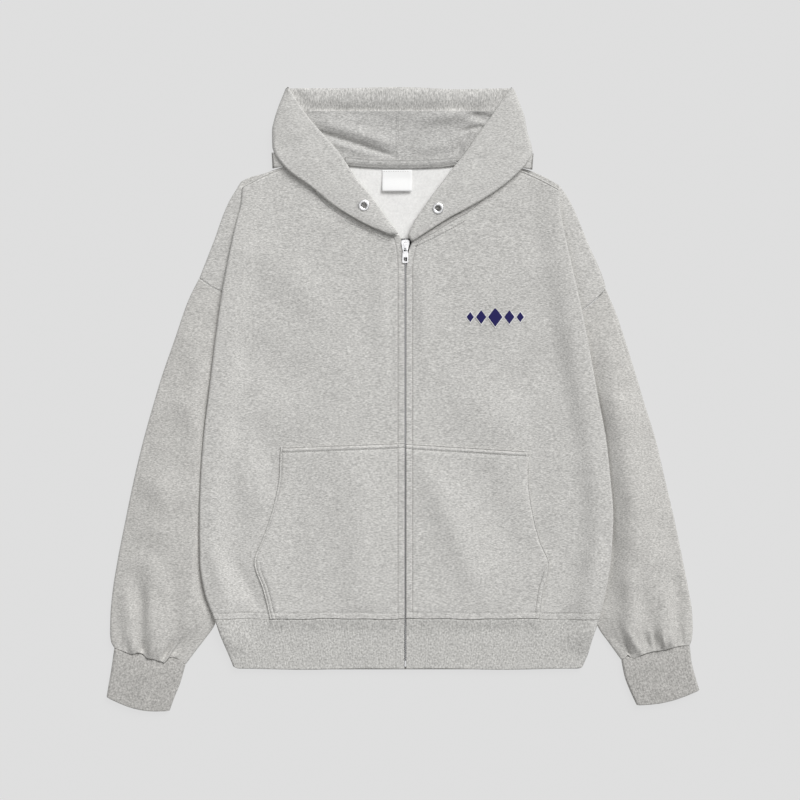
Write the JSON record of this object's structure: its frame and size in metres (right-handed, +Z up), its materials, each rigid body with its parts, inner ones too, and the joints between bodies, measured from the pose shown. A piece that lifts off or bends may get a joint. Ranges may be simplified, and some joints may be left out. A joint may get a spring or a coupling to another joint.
{
  "type": "zip up hoodie laid flat",
  "caption": "Heavy fleece zip up hoodie lying flat on its back, zipped, with dropped shoulders, ribbed cuffs and hem, kangaroo pockets and an open hood.",
  "frame": {"origin": "on the surface the hoodie lies on, under the middle of its bounding box", "axes": "+X across the garment to the right as seen from above, +Y from the hem to the hood, +Z up from the surface, out of the front"},
  "size_m": [0.76, 0.7976, 0.0162],
  "materials": {
    "fleece": "heather grey brushed fleece, matte, with fine light and dark flecks",
    "fleece_inside": "pale brushed inside of the fleece, matte",
    "hood_lining": "heather grey jersey, matte",
    "rib": "heather grey rib knit, a little darker, matte",
    "neck_tape": "heather grey tape with two rows of stitching",
    "label": "white woven label, blank, satin",
    "zip_tape": "grey woven zip tape",
    "zip_metal": "silver metal, lightly worn",
    "eyelet_metal": "silver metal, polished"
  },
  "bodies": {
    "garment": {"front_left": "fleece", "front_right": "fleece", "sleeve_left": "fleece", "sleeve_right": "fleece", "hood_left": "fleece", "hood_right": "fleece", "pocket_left": "fleece", "pocket_right": "fleece", "back": "fleece_inside", "hood_lining_left": "hood_lining", "hood_lining_right": "hood_lining", "cuff_left": "rib", "cuff_right": "rib", "hem_rib": "rib", "neck_tape": "neck_tape", "neck_label": "label", "zip_tape_left": "zip_tape", "zip_tape_right": "zip_tape", "zip_slider": "zip_metal", "zip_stop": "zip_metal", "eyelet_left": "eyelet_metal", "eyelet_right": "eyelet_metal"},
    "pull_tab": {"zip_pull": "zip_metal"}
  },
  "joints": [
    {"name": "pull_tab_hinge", "type": "hinge", "parent": "garment", "child": "pull_tab", "pos_m": [0.003, 0.195, 0.01065], "axis": [-1, 0, 0], "range_deg": [0, 120]}
  ]
}
